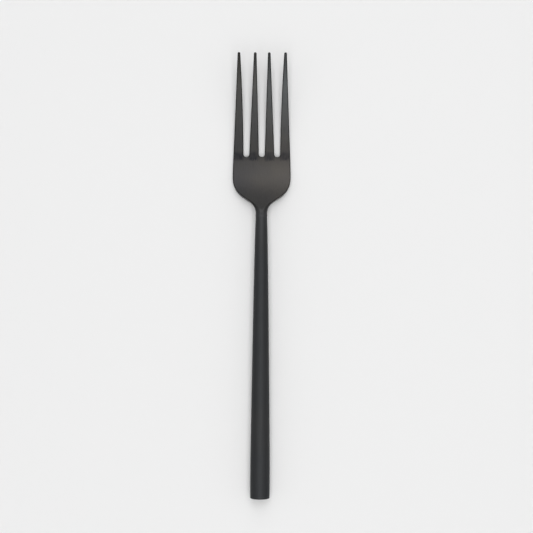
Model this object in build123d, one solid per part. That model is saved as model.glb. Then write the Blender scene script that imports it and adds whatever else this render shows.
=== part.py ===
from build123d import *
import math
import os

# All sizes in millimetres, all angles in degrees.

# Handle: a seamless round tube, straight, thickest at the butt.
HANDLE_LENGTH = 130.0  # butt face to the joint at the neck, along the axis
BUTT_DIAMETER = 9.0
NECK_DIAMETER = 5.3
BUTT_STRAIGHT = 16.0  # parallel stretch at the butt end, cap included
FLARE_LENGTH = 18.0  # the tapering side leaves the neck towards a point this far back
FLARE_SHARE = 0.38  # and this share of the way out from the neck's radius to the butt's
TUBE_WALL = 0.9

# Cap that closes the butt end.
CAP_THICKNESS = 1.2
CAP_EDGE_RADIUS = 0.3
SPIGOT_LENGTH = 4.0
SPIGOT_CHAMFER = 0.4

# Brazed joints inside the handle.
BRAZE_GAP = 0.05  # on the radius, tang to tube and spigot to tube
TANG_LENGTH = 24.0
TANG_CHAMFER = 0.5
SOCKET_SPARE = 1.0  # how much deeper the parallel socket is than the tang
GROOVE_WIDTH = 1.0
GROOVE_DEPTH = 0.35
TANG_GROOVE_AT = 8.0  # middle of the groove, from the joint at the neck
SPIGOT_GROOVE_AT = 2.0  # middle of the groove, from the inner face of the cap

# Head seen from above.
HEAD_WIDTH = 26.8
PALM_LENGTH = 27.85  # joint at the neck to the ends of the slots
TINE_LENGTH = 47.15  # ends of the slots to the tips
NECK_STRAIGHT = 1.6  # round neck ahead of the joint
NECK_FILLET = 5.8
SHOULDER_ANGLE = 56.0  # steepest slope of the shoulder, from the fork's length
SHOULDER_RADIUS = 10.6
SIDE_RADIUS = 200.0  # slow turn from the widest line into the leaning sides
SIDE_LEAN = 2.3
SLOT_WIDTH = 2.7
SLOT_FLAT = 0.2  # flat left at the round end of a slot
TIP_WIDTH = 1.2
TIP_FLAT = 0.12  # flat left on the round tip, seen from above
INNER_TIP_SHARE = 0.3  # inner tips to the centre line, as a share of the outer ones
OUTER_TINE_EXTRA = 0.15  # how much wider the outer tines are at the root
OUTER_TINE_BELLY = 0.3  # bow of the inner edges of the outer tines

# Head seen from the side, along its upper surface.
PALM_ANGLE = 28.0  # steepest slope of the palm, from the handle's axis
CREST_RADIUS = 5.5  # bend from the neck down into the palm
FLATTENING = 13.0  # length over which the round neck is forged flat
PALM_THICKNESS = 2.2
TIP_THICKNESS = 1.3
HOLLOW_BEHIND = 1.0  # lowest line of the hollow, behind the ends of the slots
TIP_LIFT = 10.0  # rise of the tips above the lowest line of the hollow
EDGE_RADIUS = 0.4
EDGE_SHARE = 0.35  # most that an edge rounding may take of a tip's width or thickness
NECK_STATIONS = 12  # cross-sections between the neck and the widest line
STATION_CROWDING = 1.6  # above 1 sets them closer together near the neck
NECK_ROUNDNESS = 0.98  # of the neck's cross-section, where 1 would be a full circle

# Limits for cutting and for picking out edges.
OVERCUT = 1.0  # how far a cut starts outside the surface that it goes into
NEAR = 0.01  # lengths that differ by less count as equal
UPRIGHT = 0.9  # rise of a unit of length from which an edge counts as upright

# The joint at the neck is the origin while the fork is put together: the handle
# runs back along -Y and the head forward along +Y.
NECK_R = NECK_DIAMETER / 2
BUTT_R = BUTT_DIAMETER / 2
SOCKET_R = NECK_R - TUBE_WALL
TANG_R = SOCKET_R - BRAZE_GAP
BORE_R = BUTT_R - TUBE_WALL
SPIGOT_R = BORE_R - BRAZE_GAP
SOCKET_LENGTH = TANG_LENGTH + SOCKET_SPARE
TAPER_LENGTH = HANDLE_LENGTH - BUTT_STRAIGHT

# Outline of one shoulder from above: a fillet out of the neck, a straight flank and a
# round shoulder. Both radii shrink together where the head is too narrow for them.
FLANK = math.radians(SHOULDER_ANGLE)
ARC_RISE = 1 - math.cos(FLANK)
OVERHANG = HEAD_WIDTH / 2 - NECK_R
ARC_FIT = min(1.0, OVERHANG / ((NECK_FILLET + SHOULDER_RADIUS) * ARC_RISE))
FILLET_R = NECK_FILLET * ARC_FIT
SHOULDER_R = SHOULDER_RADIUS * ARC_FIT
FILLET_END_X = NECK_R + FILLET_R * ARC_RISE
FILLET_END_Y = NECK_STRAIGHT + FILLET_R * math.sin(FLANK)
SHOULDER_X = HEAD_WIDTH / 2 - SHOULDER_R * ARC_RISE
SHOULDER_Y = FILLET_END_Y + (SHOULDER_X - FILLET_END_X) / math.tan(FLANK)
SHOULDER_END_Y = SHOULDER_Y + SHOULDER_R * math.sin(FLANK)
EDGE_R = min(EDGE_RADIUS, EDGE_SHARE * min(TIP_WIDTH, TIP_THICKNESS))

# Upper surface of the head in side view: crest bend, hollow of the palm, then the
# tines, which leave the lowest line of the hollow parallel to the handle's axis.
SLOPE = math.radians(PALM_ANGLE)
TIP_Y = PALM_LENGTH + TINE_LENGTH
HOLLOW_Y = PALM_LENGTH - HOLLOW_BEHIND
CREST_END_Y = NECK_STRAIGHT + CREST_RADIUS * math.sin(SLOPE)
PALM_RADIUS = (HOLLOW_Y - CREST_END_Y) / math.sin(SLOPE)
HOLLOW_Z = NECK_R - (CREST_RADIUS + PALM_RADIUS) * (1 - math.cos(SLOPE))
TIP_SLOPE = 2 * math.atan2(TIP_LIFT, TIP_Y - HOLLOW_Y)

# The palm is cut square to its hollow where the shoulders end: the foot of the cut's side,
# above the rounded edge, lies at the end of the shoulder's outline, and its top at WIDEST_Y.
THICK_SHARE = (PALM_THICKNESS - EDGE_R) / PALM_RADIUS
WIDEST_Y = (SHOULDER_END_Y + HOLLOW_Y * THICK_SHARE) / (1 + THICK_SHARE)


def half_width(y):
    """Half the head's width seen from above, between the neck and the end of the shoulder."""
    if y <= NECK_STRAIGHT:
        return NECK_R
    if y <= FILLET_END_Y:
        along = y - NECK_STRAIGHT
        return NECK_R + FILLET_R - math.sqrt(FILLET_R**2 - along**2)
    if y <= SHOULDER_Y:
        return FILLET_END_X + (y - FILLET_END_Y) * math.tan(FLANK)
    short = SHOULDER_END_Y - y
    return HEAD_WIDTH / 2 - SHOULDER_R + math.sqrt(SHOULDER_R**2 - short**2)


def upper_line(y):
    """Height and downward slope of the head's upper surface between neck and hollow."""
    if y <= NECK_STRAIGHT:
        return NECK_R, 0.0
    if y <= CREST_END_Y:
        turn = math.asin((y - NECK_STRAIGHT) / CREST_RADIUS)
        return NECK_R - CREST_RADIUS * (1 - math.cos(turn)), turn
    turn = math.asin((HOLLOW_Y - y) / PALM_RADIUS)
    return HOLLOW_Z + PALM_RADIUS * (1 - math.cos(turn)), turn


def flattened(y):
    """How far the round neck has been forged flat at y: 0 is round, 1 is palm."""
    share = min(1.0, max(0.0, (y - NECK_STRAIGHT) / FLATTENING))
    return share * share * (3 - 2 * share)


def section_lean(y):
    """How far the cross-section at y leans back: upright at the neck, square to the palm."""
    return upper_line(y)[1] * flattened(y)


def section_plane(y):
    """Plane of the cross-section that starts from the upper surface at y."""
    lean = section_lean(y)
    return Plane(
        origin=(0, y, upper_line(y)[0]),
        x_dir=(-1, 0, 0),
        z_dir=(0, math.cos(lean), -math.sin(lean)),
    )


def neck_section(y):
    """Cross-section hung from the upper surface at y, round at the neck and flat at the palm.
    The foot of its side lies further back and makes the outline, so that sets its width."""
    flat = flattened(y)
    thickness = NECK_DIAMETER + (PALM_THICKNESS - NECK_DIAMETER) * flat
    palm_roundness = 2 * EDGE_R / PALM_THICKNESS
    roundness = palm_roundness + (NECK_ROUNDNESS - palm_roundness) * (1 - flat) ** 2
    corner = roundness * thickness / 2
    width = 2 * half_width(y - (thickness - corner) * math.sin(section_lean(y)))
    profile = RectangleRounded(width, thickness, corner)
    return section_plane(y) * Pos(0, -thickness / 2) * profile


def neck_and_shoulders():
    """Round neck drawn out into the shoulders and the rear of the palm."""
    run = WIDEST_Y - NECK_STRAIGHT
    shares = [(i / NECK_STATIONS) ** STATION_CROWDING for i in range(NECK_STATIONS + 1)]
    return loft([neck_section(0.0)] + [neck_section(NECK_STRAIGHT + run * share) for share in shares])


def side_x(y):
    """Outer edge of the head ahead of the widest line."""
    lean = math.radians(SIDE_LEAN)
    turned_x = HEAD_WIDTH / 2 - SIDE_RADIUS * (1 - math.cos(lean))
    turned_y = WIDEST_Y + SIDE_RADIUS * math.sin(lean)
    return turned_x - (y - turned_y) * math.tan(lean)


def tine_plan():
    """Plan of the front of the head: four tapering tines and three slots with round ends."""
    back_y = WIDEST_Y - PALM_THICKNESS
    half = HEAD_WIDTH / 2
    mid_gap = SLOT_WIDTH / 2
    inner_root = (side_x(PALM_LENGTH) - 3 * mid_gap - OUTER_TINE_EXTRA) / 2
    outer_tip = side_x(TIP_Y)
    inner_tip = INNER_TIP_SHARE * (outer_tip - TIP_WIDTH / 2) + TIP_WIDTH / 2
    turn_in = JernArc((half, WIDEST_Y), (0, 1), SIDE_RADIUS, SIDE_LEAN)
    outer_tip_in = (outer_tip - TIP_WIDTH, TIP_Y)
    side_slot_in = (mid_gap + inner_root, PALM_LENGTH)
    side_slot_out = (side_slot_in[0] + SLOT_WIDTH, PALM_LENGTH)
    inner_tip_in = (inner_tip - TIP_WIDTH, TIP_Y)
    outline = [
        Polyline((0, PALM_LENGTH), (0, back_y), (half, back_y), (half, WIDEST_Y)),
        turn_in,
        Polyline(turn_in @ 1, (outer_tip, TIP_Y), outer_tip_in),
        SagittaArc(outer_tip_in, side_slot_out, -OUTER_TINE_BELLY),
        Polyline(side_slot_out, side_slot_in, (inner_tip, TIP_Y), inner_tip_in),
        Polyline(inner_tip_in, (mid_gap, PALM_LENGTH), (0, PALM_LENGTH)),
    ]
    plan = make_face(outline)
    tips = [v for v in plan.vertices() if abs(v.Y - TIP_Y) < NEAR]
    plan = fillet(tips, (TIP_WIDTH - TIP_FLAT) / 2)
    corners = [v for v in plan.vertices() if abs(v.Y - PALM_LENGTH) < NEAR and v.X > NEAR]
    plan = fillet(corners, (SLOT_WIDTH - SLOT_FLAT) / 2)
    return plan + mirror(plan, Plane.YZ)


def rising_arc(start, end, past):
    """Arc in side view that leaves start level, passes through end and goes on by past."""
    run = end[0] - start[0]
    rise = end[1] - start[1]
    radius = (run * run + rise * rise) / (2 * rise)
    sweep = 2 * math.atan2(rise, run) + past / radius
    return CenterArc((start[0], start[1] + radius), radius, -90, math.degrees(sweep))


def tine_band():
    """Side view of the front of the head, drawn out thinner and past the tips."""
    degrees = math.degrees(upper_line(WIDEST_Y)[1])
    hub = (HOLLOW_Y, HOLLOW_Z + PALM_RADIUS)
    upper = CenterArc(hub, PALM_RADIUS, -90 - degrees, degrees)
    lower = CenterArc(hub, PALM_RADIUS + PALM_THICKNESS, -90 - degrees, degrees)
    half_y = -math.sin(TIP_SLOPE) * TIP_THICKNESS / 2
    half_z = math.cos(TIP_SLOPE) * TIP_THICKNESS / 2
    tip_z = HOLLOW_Z - PALM_THICKNESS / 2 + TIP_LIFT
    above = (TIP_Y + half_y, tip_z + half_z)
    below = (TIP_Y - half_y, tip_z - half_z)
    past = 2 * TIP_WIDTH
    upper_tine = rising_arc((HOLLOW_Y, HOLLOW_Z), above, past)
    lower_tine = rising_arc((HOLLOW_Y, HOLLOW_Z - PALM_THICKNESS), below, past)
    side = make_face(
        [
            upper,
            upper_tine,
            Line(upper_tine @ 1, lower_tine @ 1),
            lower_tine,
            lower,
            Line(lower @ 0, upper @ 0),
        ]
    )
    return extrude(Plane.YZ * side, HEAD_WIDTH, both=True)


def palm_and_tines():
    """Front of the palm and the four tines, every long edge rounded."""
    blank = tine_band() & extrude(tine_plan(), TIP_Y, both=True)
    back = section_plane(WIDEST_Y)
    walls = [f for f in blank.faces() if abs(f.normal_at().Z) < NEAR]
    long_edges = [
        e
        for wall in walls
        for e in wall.edges()
        if abs(e.tangent_at(0.5).Z) < UPRIGHT and abs(back.to_local_coords(e.center()).Z) > NEAR
    ]
    return fillet(long_edges, EDGE_R)


def fork_head():
    """Forged head with the grooved tang that goes into the handle."""
    tang = Rot(90, 0, 0) * Cylinder(TANG_R, TANG_LENGTH, align=(Align.CENTER, Align.CENTER, Align.MIN))
    tang = chamfer(tang.edges().sort_by(Axis.Y)[0], TANG_CHAMFER)
    groove = ring(TANG_R - GROOVE_DEPTH, TANG_R + OVERCUT, GROOVE_WIDTH, -TANG_GROOVE_AT)
    return neck_and_shoulders() + palm_and_tines() + (tang - groove)


def ring(inner_r, outer_r, width, y):
    """Plain ring about the handle's axis with its middle at y."""
    section = Pos((inner_r + outer_r) / 2, y) * Rectangle(outer_r - inner_r, width)
    return revolve(section, Axis.Y)


def handle_tube():
    """Tapered tube with a parallel socket for the tang and an open butt end."""
    taper_y = -TAPER_LENGTH
    end_y = -(HANDLE_LENGTH - CAP_THICKNESS)
    flare = (NECK_R + FLARE_SHARE * (BUTT_R - NECK_R), -FLARE_LENGTH)
    outer = Bezier((NECK_R, 0), flare, (BUTT_R, taper_y))
    bore = Pos(-TUBE_WALL, 0) * outer.trim(SOCKET_LENGTH / TAPER_LENGTH, 1)
    bore_start = bore @ 0
    section = make_face(
        [
            outer,
            Polyline((BUTT_R, taper_y), (BUTT_R, end_y), (BORE_R, end_y), (BORE_R, taper_y)),
            bore,
            Polyline(bore_start, (SOCKET_R, bore_start.Y), (SOCKET_R, 0), (NECK_R, 0)),
        ]
    )
    return revolve(section, Axis.Y)


def butt_cap():
    """Flat disc with a grooved spigot that closes the butt end of the tube."""
    butt_y = -HANDLE_LENGTH
    seat_y = butt_y + CAP_THICKNESS
    end_y = seat_y + SPIGOT_LENGTH
    section = make_face(
        Polyline(
            (0, butt_y),
            (BUTT_R, butt_y),
            (BUTT_R, seat_y),
            (SPIGOT_R, seat_y),
            (SPIGOT_R, end_y - SPIGOT_CHAMFER),
            (SPIGOT_R - SPIGOT_CHAMFER, end_y),
            (0, end_y),
            close=True,
        )
    )
    rim = [v for v in section.vertices() if v.X > SPIGOT_R + NEAR and v.Y < butt_y + NEAR]
    cap = revolve(fillet(rim, CAP_EDGE_RADIUS), Axis.Y)
    groove_y = seat_y + SPIGOT_GROOVE_AT
    groove = ring(SPIGOT_R - GROOVE_DEPTH, SPIGOT_R + OVERCUT, GROOVE_WIDTH, groove_y)
    return cap - groove


def neck_braze_ring():
    """Brazing alloy that fills the tang's groove out to the tube."""
    return ring(TANG_R - GROOVE_DEPTH, SOCKET_R, GROOVE_WIDTH, -TANG_GROOVE_AT)


def butt_braze_ring():
    """Brazing alloy that fills the spigot's groove out to the tube."""
    middle_y = -HANDLE_LENGTH + CAP_THICKNESS + SPIGOT_GROOVE_AT
    return ring(SPIGOT_R - GROOVE_DEPTH, BORE_R, GROOVE_WIDTH, middle_y)


def resting_tilt():
    """Angle of the line that touches the rim of the butt and the hollow of the palm from below."""
    rim = (-HANDLE_LENGTH + CAP_EDGE_RADIUS, -BUTT_R + CAP_EDGE_RADIUS)
    hub = (HOLLOW_Y, HOLLOW_Z + PALM_RADIUS)
    along = hub[0] - rim[0]
    up = hub[1] - rim[1]
    lower_r = PALM_RADIUS + PALM_THICKNESS
    spread = math.asin((lower_r - CAP_EDGE_RADIUS) / math.hypot(along, up))
    return math.degrees(math.atan2(up, along) - spread)


pieces = {
    "fork_head": fork_head(),
    "handle_tube": handle_tube(),
    "butt_cap": butt_cap(),
    "neck_braze_ring": neck_braze_ring(),
    "butt_braze_ring": butt_braze_ring(),
}

# The fork lies on a table: turned onto its two points of rest, then moved so that
# the table is z = 0 and the middle of its length and width is over the origin.
turn = Rot(-resting_tilt(), 0, 0)
lying = {name: turn * piece for name, piece in pieces.items()}
box = Compound(list(lying.values())).bounding_box()
place = Pos(0, -(box.min.Y + box.max.Y) / 2, -box.min.Z)

os.makedirs("parts", exist_ok=True)
for name, piece in lying.items():
    placed = place * piece
    export_step(placed, f"parts/{name}.step")
    print(name, round(placed.volume, 1))
print("tilt", resting_tilt(), "length", box.size.Y, "height", box.size.Z)
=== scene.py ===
import math

import bpy
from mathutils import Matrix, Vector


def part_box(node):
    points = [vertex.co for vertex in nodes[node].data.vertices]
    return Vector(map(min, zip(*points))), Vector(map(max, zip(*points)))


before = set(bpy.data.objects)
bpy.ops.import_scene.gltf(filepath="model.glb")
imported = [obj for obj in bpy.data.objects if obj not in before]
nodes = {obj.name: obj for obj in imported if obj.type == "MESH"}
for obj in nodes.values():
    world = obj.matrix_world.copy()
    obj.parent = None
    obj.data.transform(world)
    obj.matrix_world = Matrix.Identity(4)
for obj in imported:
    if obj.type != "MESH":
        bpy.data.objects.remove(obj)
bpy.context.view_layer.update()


# Head: one steel forging with four tines, a dished palm, shoulders and a round neck. It is
# brushed lengthwise on a belt and coated black, and its tang is brazed into the handle.
MM = 0.001
TINE_LENGTH = 47.1 * MM

HEAD_COOL = (0.0549, 0.0549, 0.0566, 1)
HEAD_WARM = (0.0600, 0.0594, 0.0583, 1)
HEAD_PATCH = 9 * MM
HEAD_LINE = (0.7 * MM, 14 * MM)
HEAD_ROUGHNESS = (0.36, 0.44)
HEAD_BRUSHED = 0.6

# What the head's colour is multiplied by at each place along it, and at the left and right of its palm and
# of its tines.
# Along it, the neck gets a painted highlight and the roots and tips of the tines get painted shade. Across
# it, the left gets painted shade and the right gets painted light.
NECK_PAINTED_HIGHLIGHT = (1.14, 1.18, 1.23, 1)
SHOULDER_TONE = (0.95, 0.955, 0.945, 1)
PALM_TONE = (0.95, 0.93, 0.90, 1)
TINE_ROOT_PAINTED_SHADE = (0.80, 0.80, 0.79, 1)
TINE_TONE = (1.06, 1.08, 1.07, 1)
TIP_PAINTED_SHADE = (0.57, 0.58, 0.57, 1)
PALM_LEFT_PAINTED_SHADE = (0.785, 0.79, 0.82, 1)
PALM_RIGHT_PAINTED_LIGHT = (1.14, 1.09, 1.04, 1)
TINE_LEFT_PAINTED_SHADE = (0.74, 0.70, 0.645, 1)
TINE_RIGHT_PAINTED_LIGHT = (1.03, 1.09, 1.13, 1)
NO_TINT = (1, 1, 1, 1)

# Where those tones are, ahead of the joint, ahead of the ends of the slots and behind the tips.
NECK_AT = 0.5 * MM
SHOULDER_AT = 6 * MM
PALM_AT = 14 * MM
PALM_END_AT = -2 * MM
TINE_ROOT_AT = 4 * MM
TINE_AT = 17 * MM
TIP_FADE = 15 * MM

# The painted shade on the side walls, which begins past the round neck, and the roughness that the head
# shares with the handle at their joint.
SIDE_WALL_PAINTED_SHADE = 0.45
SIDE_SHADE_FACING = (0.1, 0.6)
ROUND_NECK = (1 * MM, 9 * MM)
JOINT_ROUGHNESS = 0.50
HEAD_BLEND = 8 * MM

# The band of painted shade at the roots of the tines, with distances from the ends of the slots.
BAND_PAINTED_SHADE = (0.30, 0.32, 0.40, 1)
BAND_LOWER_EDGE = (-2.2 * MM, -0.8 * MM)
BAND_UPPER_EDGE = (1.0 * MM, 3.2 * MM)
RAGGED = 0.5 * MM
SCRATCH_CELL = (0.45 * MM, 1.8 * MM, 0.45 * MM)
SMEAR_CELL = (2.2 * MM, 2.2 * MM, 2.2 * MM)
SCRATCHED = 0.62
SMEARED = 0.60
SLOT_PITCH = 7.15 * MM
SLOT_WAVE = (0.1, 0.7)
BELOW_SLOT = 0.2

# The part of Blender's noise that is spread over 0 to 1, and the belt's lines.
NOISE_LOW = 0.3
NOISE_HIGH = 0.7
LINE_CONTRAST = 0.11
LINE_DEPTH = 0.03 * MM
LINE_STRENGTH = 0.5


def add(tree, kind, inputs=None, **settings):
    """One shader node. inputs maps a socket's name or number to a value or to the output that feeds it."""
    made = tree.nodes.new("ShaderNode" + kind)
    for name, value in settings.items():
        setattr(made, name, value)
    for socket, value in (inputs or {}).items():
        if isinstance(value, bpy.types.NodeSocket):
            tree.links.new(value, made.inputs[socket])
        else:
            made.inputs[socket].default_value = value
    return made


def between(tree, value, start, end, low=0.0, high=1.0, easing="LINEAR"):
    """low where value is below start, high where it is above end, and a steady or eased change between."""
    ends = {"Value": value, "From Min": start, "From Max": end, "To Min": low, "To Max": high}
    return add(tree, "MapRange", ends, interpolation_type=easing).outputs["Result"]


def product(tree, first, second):
    """Two values multiplied."""
    return add(tree, "Math", {0: first, 1: second}, operation="MULTIPLY").outputs[0]


def mixed(tree, share, first, second):
    """The first colour where share is 0, the second where it is 1. Sockets 6 and 7 are the Mix node's
    colours."""
    return add(tree, "Mix", {0: share, 6: first, 7: second}, data_type="RGBA").outputs[2]


def grains(tree, place, cell, layers, fall=0.5):
    """Soft noise from 0 to 1 with grains as large as cell. Each finer layer of it has grains half as large
    as the one before and is fall times as strong."""
    scaled = add(tree, "VectorMath", {0: place, 1: cell}, operation="DIVIDE").outputs[0]
    noise = add(tree, "TexNoise", {"Vector": scaled, "Scale": 1.0, "Detail": layers, "Roughness": fall})
    return between(tree, noise.outputs["Fac"], NOISE_LOW, NOISE_HIGH)


def new_group(name, inputs, outputs):
    """An empty node group with those named sockets, and the inner ends of them."""
    group = bpy.data.node_groups.new(name, "ShaderNodeTree")
    for socket, kind in inputs:
        group.interface.new_socket(socket, in_out="INPUT", socket_type="NodeSocket" + kind)
    for socket, kind in outputs:
        group.interface.new_socket(socket, in_out="OUTPUT", socket_type="NodeSocket" + kind)
    return group, group.nodes.new("NodeGroupInput").outputs, group.nodes.new("NodeGroupOutput").inputs


def make_belt_brushing():
    """Belt lines: noise with grains that are narrow across the fork and long along Y, so that each one
    becomes a thin line. Lines runs from 0 to 1."""
    sockets = [("Object", "Vector"), ("Line Width", "Float"), ("Line Length", "Float")]
    group, given, result = new_group("belt_brushing", sockets, [("Lines", "Float")])
    width = given["Line Width"]
    cell = add(group, "CombineXYZ", {"X": width, "Y": given["Line Length"], "Z": width}).outputs[0]
    group.links.new(grains(group, given["Object"], cell, layers=3.0, fall=0.7), result["Lines"])
    return group


def make_coat_drift():
    """Slow change of the coating's colour: soft noise with grains of Patch Size mixes two colours."""
    sockets = [("Object", "Vector"), ("Patch Size", "Float"), ("Cool", "Color"), ("Warm", "Color")]
    group, given, result = new_group("coat_drift", sockets, [("Colour", "Color")])
    share = grains(group, given["Object"], given["Patch Size"], layers=1.0)
    group.links.new(mixed(group, share, given["Cool"], given["Warm"]), result["Colour"])
    return group


belt_brushing = make_belt_brushing()
coat_drift = make_coat_drift()


def tint(material, tone):
    """Multiplies a material's colour by a tone, which is 1 where the colour stays as it is."""
    tree = material.node_tree
    base = tree.nodes["Principled BSDF"].inputs["Base Color"]
    colours = {0: 1.0, 6: base.links[0].from_socket, 7: tone}
    toned = add(tree, "Mix", colours, data_type="RGBA", blend_type="MULTIPLY")
    tree.links.new(toned.outputs[2], base)


def coated_steel(name, cool, warm, patch, line, roughness, brushed):
    """Steel brushed along Y under a thin black coating. The belt's lines make the coating paler and darker,
    smoother and rougher, and score it. brushed, from 0 to 1, is how far the shine is drawn out across
    them."""
    material = bpy.data.materials.new(name)
    material.use_nodes = True
    tree = material.node_tree
    shader = tree.nodes["Principled BSDF"]
    place = add(tree, "TexCoord").outputs["Object"]
    coat = {"Object": place, "Patch Size": patch, "Cool": cool, "Warm": warm}
    colour = add(tree, "Group", coat, node_tree=coat_drift).outputs["Colour"]
    width, length = line
    belt = {"Object": place, "Line Width": width, "Line Length": length}
    lines = add(tree, "Group", belt, node_tree=belt_brushing).outputs["Lines"]
    scored = add(tree, "Bump", {"Strength": LINE_STRENGTH, "Distance": LINE_DEPTH, "Height": lines})
    across = add(tree, "CombineXYZ", {"X": 1.0}).outputs[0]
    tangent = add(tree, "VectorTransform", {0: across}, convert_from="OBJECT", convert_to="WORLD")
    tree.links.new(colour, shader.inputs["Base Color"])
    tree.links.new(between(tree, lines, 0.0, 1.0, *roughness), shader.inputs["Roughness"])
    tree.links.new(scored.outputs[0], shader.inputs["Normal"])
    tree.links.new(tangent.outputs[0], shader.inputs["Tangent"])
    shader.inputs["Metallic"].default_value = 1.0
    shader.inputs["Anisotropic"].default_value = brushed
    tint(material, between(tree, lines, 0.0, 1.0, 1 - LINE_CONTRAST, 1 + LINE_CONTRAST))
    return material


def even_out(material, share, roughness):
    """Keeps a material's roughness where share is 0 and brings it to the given one where share is 1.
    Sockets 2 and 3 are the Mix node's numbers."""
    tree = material.node_tree
    socket = tree.nodes["Principled BSDF"].inputs["Roughness"]
    numbers = {0: share, 2: socket.links[0].from_socket, 3: roughness}
    tree.links.new(add(tree, "Mix", numbers).outputs[0], socket)


def tone_along(tree, value, stops):
    """A colour that changes steadily from one stop to the next. Each stop is a value and its colour."""
    start = stops[0][0]
    end = stops[-1][0]
    ramp = add(tree, "ValToRGB", {0: between(tree, value, start, end)})
    elements = ramp.color_ramp.elements
    elements[0].color = stops[0][1]
    elements[1].color = stops[-1][1]
    for at, tone in stops[1:-1]:
        elements.new((at - start) / (end - start)).color = tone
    return ramp.outputs["Color"]


def painted_root_shade(tree, place, axis, slot_end):
    """How dark the band of painted shade at the roots of the tines is, from 0 to 1. It fills the length
    between two edges that the scratches along Y make ragged. It is weaker between scratches, between smears
    and below the slots, where a cosine of X with the slots' pitch rises through SLOT_WAVE to 1."""
    scratch = grains(tree, place, SCRATCH_CELL, layers=2.0)
    smear = grains(tree, place, SMEAR_CELL, layers=1.0)
    shift = between(tree, scratch, 0.0, 1.0, -RAGGED, RAGGED)
    ragged_y = add(tree, "Math", {0: axis["Y"], 1: shift}, operation="ADD").outputs[0]
    lower = [slot_end + edge for edge in BAND_LOWER_EDGE]
    upper = [slot_end + edge for edge in BAND_UPPER_EDGE]
    above_lower = between(tree, ragged_y, *lower, easing="SMOOTHSTEP")
    below_upper = between(tree, ragged_y, *upper, low=1.0, high=0.0, easing="SMOOTHSTEP")
    scratched = between(tree, scratch, 0.0, 1.0, SCRATCHED, 1.0)
    smeared = between(tree, smear, 0.0, 1.0, SMEARED, 1.0)
    turn = product(tree, axis["X"], math.tau / SLOT_PITCH)
    wave = add(tree, "Math", {0: turn}, operation="COSINE").outputs[0]
    on_tine = between(tree, wave, *SLOT_WAVE, 1.0, BELOW_SLOT)
    strength = product(tree, product(tree, scratched, smeared), on_tine)
    return product(tree, product(tree, above_lower, below_upper), strength)


def make_head_steel():
    """Coated steel with painted shade on the left and painted light on the right, a painted highlight at
    the cool neck, a palm that is warm on the right, and tines that are brightest along their length and
    turn cool on the right, with painted shade at their roots and tips. The side walls get painted shade. At
    the joint it is as rough as the handle."""
    material = coated_steel(
        "head_steel", HEAD_COOL, HEAD_WARM, HEAD_PATCH, HEAD_LINE, HEAD_ROUGHNESS, HEAD_BRUSHED
    )
    tree = material.node_tree
    coordinates = add(tree, "TexCoord").outputs
    place = coordinates["Object"]
    axis = add(tree, "SeparateXYZ", {0: place}).outputs
    joint_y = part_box("handle_tube")[1].y
    low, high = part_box("fork_head")
    tips_y = high.y
    slot_end = tips_y - TINE_LENGTH
    # A painted highlight at the neck, and painted shade at the roots and the tips of the tines.
    stops = (
        (joint_y + NECK_AT, NECK_PAINTED_HIGHLIGHT),
        (joint_y + SHOULDER_AT, SHOULDER_TONE),
        (joint_y + PALM_AT, PALM_TONE),
        (slot_end + PALM_END_AT, PALM_TONE),
        (slot_end + TINE_ROOT_AT, TINE_ROOT_PAINTED_SHADE),
        (slot_end + TINE_AT, TINE_TONE),
        (tips_y - TIP_FADE, TINE_TONE),
        (tips_y, TIP_PAINTED_SHADE),
    )
    tint(material, tone_along(tree, axis["Y"], stops))
    # Painted shade on the left of the palm and the tines and painted light on their right, each side with a
    # hue of its own.
    to_the_right = between(tree, axis["X"], low.x, high.x)
    palm_painted_light_and_shade = mixed(tree, to_the_right, PALM_LEFT_PAINTED_SHADE, PALM_RIGHT_PAINTED_LIGHT)
    tine_painted_light_and_shade = mixed(tree, to_the_right, TINE_LEFT_PAINTED_SHADE, TINE_RIGHT_PAINTED_LIGHT)
    up_the_tines = between(tree, axis["Y"], slot_end + TINE_ROOT_AT, tips_y - TIP_FADE)
    tint(material, mixed(tree, up_the_tines, palm_painted_light_and_shade, tine_painted_light_and_shade))
    # Painted shade on the surfaces that face sideways, past the round neck.
    facing = add(tree, "SeparateXYZ", {0: coordinates["Normal"]}).outputs
    sideways = add(tree, "Math", {0: facing["X"]}, operation="ABSOLUTE").outputs[0]
    neck_ends = [joint_y + edge for edge in ROUND_NECK]
    past_neck = between(tree, axis["Y"], *neck_ends)
    painted_side_shade = product(tree, between(tree, sideways, *SIDE_SHADE_FACING), past_neck)
    tint(material, between(tree, painted_side_shade, 0.0, 1.0, 1.0, SIDE_WALL_PAINTED_SHADE))
    # Painted shade in a band at the roots of the tines, broken up by scratches and smears.
    tint(material, mixed(tree, painted_root_shade(tree, place, axis, slot_end), NO_TINT, BAND_PAINTED_SHADE))
    at_joint = between(tree, axis["Y"], joint_y, joint_y + HEAD_BLEND, 1.0, 0.0, "SMOOTHSTEP")
    even_out(material, at_joint, JOINT_ROUGHNESS)
    return material


def dress(node, material):
    """Puts a material in a CAD node's slot, in place of the one that it was packed with."""
    nodes[node].material_slots[0].material = material


dress("fork_head", make_head_steel())


# Handle: a seamless steel tube drawn to a taper, swelling towards the butt, brushed and coated
# with the head. It is hollow, and its narrow end takes the head's tang.
HANDLE_COOL = (0.0458, 0.0485, 0.0522, 1)
HANDLE_WARM = (0.0527, 0.0539, 0.0554, 1)
HANDLE_PATCH = 20 * MM
HANDLE_LINE = (0.3 * MM, 12 * MM)
HANDLE_ROUGHNESS = (0.54, 0.60)
HANDLE_BRUSHED = 0.4
HANDLE_BLEND = 13 * MM
HANDLE_JOINT_HIGHLIGHT = 1.09


def handle_finish(name):
    """The handle's satin: finer lines than the head's and a duller shine."""
    return coated_steel(
        name, HANDLE_COOL, HANDLE_WARM, HANDLE_PATCH, HANDLE_LINE, HANDLE_ROUGHNESS, HANDLE_BRUSHED
    )


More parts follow.
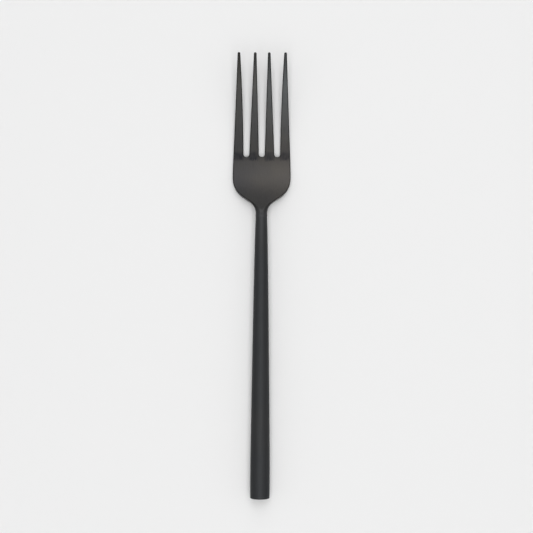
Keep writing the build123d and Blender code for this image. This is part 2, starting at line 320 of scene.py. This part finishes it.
def make_handle_steel():
    """The handle's finish, paler towards the head with a painted highlight that runs on from the neck's,
    and smoother there, where the belt that brushed the neck ran on over the joint."""
    material = handle_finish("handle_steel")
    tree = material.node_tree
    joint_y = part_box("handle_tube")[1].y
    axis = add(tree, "SeparateXYZ", {0: add(tree, "TexCoord").outputs["Object"]}).outputs
    at_joint = between(tree, axis["Y"], joint_y - HANDLE_BLEND, joint_y, easing="SMOOTHSTEP")
    # A painted highlight that makes the handle paler towards the joint.
    tint(material, between(tree, at_joint, 0.0, 1.0, 1.0, HANDLE_JOINT_HIGHLIGHT))
    even_out(material, at_joint, JOINT_ROUGHNESS)
    return material


dress("handle_tube", make_handle_steel())


# Butt cap: a turned steel disc with a spigot, brazed into the tube's open end and coated with it.
# Its end face keeps the rings of the turning tool, and a painted highlight shows the joint as a paler line.
AWAY_FROM_AXIS = (1, 0, 1)
RING_CELL = (0.43 * MM, 0.43 * MM, 0.43 * MM)
RING_CONTRAST = 0.15
SEAM_WIDTH = 0.3 * MM
SEAM_HIGHLIGHT_TONE = 1.2


def make_cap_steel():
    """The handle's finish with rings, noise that changes only with the distance from the handle's axis,
    and a painted highlight as a paler line at the seam."""
    material = handle_finish("cap_steel")
    tree = material.node_tree
    place = add(tree, "TexCoord").outputs["Object"]
    low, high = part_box("butt_cap")
    seam_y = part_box("handle_tube")[0].y
    centre = (0, 0, (low.z + high.z) / 2)
    from_centre = add(tree, "VectorMath", {0: place, 1: centre}, operation="SUBTRACT").outputs[0]
    outwards = add(tree, "VectorMath", {0: from_centre, 1: AWAY_FROM_AXIS}, operation="MULTIPLY").outputs[0]
    radius = add(tree, "VectorMath", {0: outwards}, operation="LENGTH").outputs["Value"]
    rings = grains(tree, radius, RING_CELL, layers=2.0)
    tint(material, between(tree, rings, 0.0, 1.0, 1 - RING_CONTRAST, 1 + RING_CONTRAST))
    axis = add(tree, "SeparateXYZ", {0: place}).outputs
    # A painted highlight along the seam.
    tint(material, between(tree, axis["Y"], seam_y - SEAM_WIDTH, seam_y, 1.0, SEAM_HIGHLIGHT_TONE))
    return material


dress("butt_cap", make_cap_steel())


# Brazing rings: brass filler metal that ran into the grooves of the tang and of the spigot and
# holds the three steel pieces together. They lie inside the closed handle.
TARNISHED_BRASS = (0.42, 0.27, 0.09, 1)
CLEAN_BRASS = (0.72, 0.50, 0.20, 1)
TARNISH_CELL = (1.1 * MM, 1.1 * MM, 1.1 * MM)
BRASS_ROUGHNESS = (0.52, 0.36)


def make_brass():
    """Dull brass with small clouds of tarnish, which are rougher than the clean metal."""
    material = bpy.data.materials.new("braze_alloy")
    material.use_nodes = True
    tree = material.node_tree
    shader = tree.nodes["Principled BSDF"]
    clean = grains(tree, add(tree, "TexCoord").outputs["Object"], TARNISH_CELL, layers=3.0)
    tree.links.new(mixed(tree, clean, TARNISHED_BRASS, CLEAN_BRASS), shader.inputs["Base Color"])
    tree.links.new(between(tree, clean, 0.0, 1.0, *BRASS_ROUGHNESS), shader.inputs["Roughness"])
    shader.inputs["Metallic"].default_value = 1.0
    return material


brass = make_brass()
dress("neck_braze_ring", brass)
dress("butt_braze_ring", brass)


# Floor: a wide matt sheet of pale grey paper that the fork lies on. It isn't part of the fork
# and takes its shadow.
FLOOR_REACH = 3.0
PAPER_GREY = (0.84, 0.84, 0.84, 1)
PAPER_ROUGHNESS = 0.9
PAPER_GLOSS = 0.1


def make_floor():
    """A square on z = 0 that reaches FLOOR_REACH to each side."""
    corners = [(x * FLOOR_REACH, y * FLOOR_REACH, 0) for x, y in ((-1, -1), (1, -1), (1, 1), (-1, 1))]
    mesh = bpy.data.meshes.new("floor")
    mesh.from_pydata(corners, [], [(0, 1, 2, 3)])
    paper = bpy.data.materials.new("pale_paper")
    paper.use_nodes = True
    shader = paper.node_tree.nodes["Principled BSDF"]
    shader.inputs["Base Color"].default_value = PAPER_GREY
    shader.inputs["Roughness"].default_value = PAPER_ROUGHNESS
    shader.inputs["Specular IOR Level"].default_value = PAPER_GLOSS
    mesh.materials.append(paper)
    floor = bpy.data.objects.new("floor", mesh)
    bpy.context.scene.collection.objects.link(floor)
    return floor


make_floor()


# Light: bright soft boxes beyond the tines and beyond the butt, dimmer panels overhead, low down
# and at both sides, all shifted a little to the right, and a dim grey room.
BOX_DISTANCE = 1.6
BOX_SPREAD = math.radians(18)
BOX_SHIFT = 0.04
POWER_FACTOR = 4
BEYOND_TINES = 0
BEYOND_BUTT = 180
ON_THE_RIGHT = -90
ON_THE_LEFT = 90
ROOM_GREY = (0.35, 0.35, 0.35, 1)


def soft_box(name, side, inner, outer, radiance):
    """A rectangular lamp on one side of the fork, which is a turn in degrees about the upright from the
    tines' end. It fills the tilts from inner to outer, in degrees from overhead, and BOX_SPREAD to each
    hand. radiance is how bright it looks, where 1 is white paper. The power is POWER_FACTOR times that
    times the lamp's area."""
    tilt = math.radians((inner + outer) / 2)
    half = math.radians((outer - inner) / 2)
    turn = math.radians(side)
    lamp = bpy.data.lights.new(name, "AREA")
    lamp.shape = "RECTANGLE"
    lamp.size = 2 * BOX_DISTANCE * math.tan(BOX_SPREAD)
    lamp.size_y = 2 * BOX_DISTANCE * math.tan(half)
    lamp.energy = POWER_FACTOR * lamp.size * lamp.size_y * radiance
    out = BOX_DISTANCE * math.sin(tilt)
    up = BOX_DISTANCE * math.cos(tilt)
    holder = bpy.data.objects.new(name, lamp)
    holder.location = (BOX_SHIFT - out * math.sin(turn), out * math.cos(turn), up)
    holder.rotation_euler = (-tilt, 0, turn)
    bpy.context.scene.collection.objects.link(holder)


soft_box("far_soft_box", BEYOND_TINES, inner=10, outer=36, radiance=2.18)
soft_box("near_soft_box", BEYOND_BUTT, inner=13, outer=40, radiance=2.18)
soft_box("overhead_panel", BEYOND_TINES, inner=-9, outer=9, radiance=1.36)
soft_box("far_low_panel", BEYOND_TINES, inner=38, outer=68, radiance=0.78)
soft_box("near_low_panel", BEYOND_BUTT, inner=42, outer=68, radiance=0.48)
soft_box("right_fill", ON_THE_RIGHT, inner=34, outer=70, radiance=0.27)
soft_box("left_fill", ON_THE_LEFT, inner=34, outer=70, radiance=0.25)

room = bpy.data.worlds.new("room")
room.use_nodes = True
background = room.node_tree.nodes["Background"]
background.inputs["Color"].default_value = ROOM_GREY
background.inputs["Strength"].default_value = 1.0
bpy.context.scene.world = room


# Camera: straight above the fork, turned a third of a degree, with the fork a little left of
# the middle and a little low.
IMAGE_PIXELS = 533
PIXELS_PER_METRE = 2149.0
SENSOR_WIDTH = 36.0
CAMERA_PLACE = (2.48 * MM, 4.59 * MM, 650 * MM)
CAMERA_TURN = math.radians(0.32)

lens = bpy.data.cameras.new("overhead")
lens.sensor_width = SENSOR_WIDTH
lens.lens = PIXELS_PER_METRE * CAMERA_PLACE[2] * SENSOR_WIDTH / IMAGE_PIXELS
camera = bpy.data.objects.new("overhead", lens)
camera.location = CAMERA_PLACE
camera.rotation_euler = (0, 0, CAMERA_TURN)
bpy.context.scene.collection.objects.link(camera)
bpy.context.scene.camera = camera
bpy.context.scene.view_settings.view_transform = "Standard"
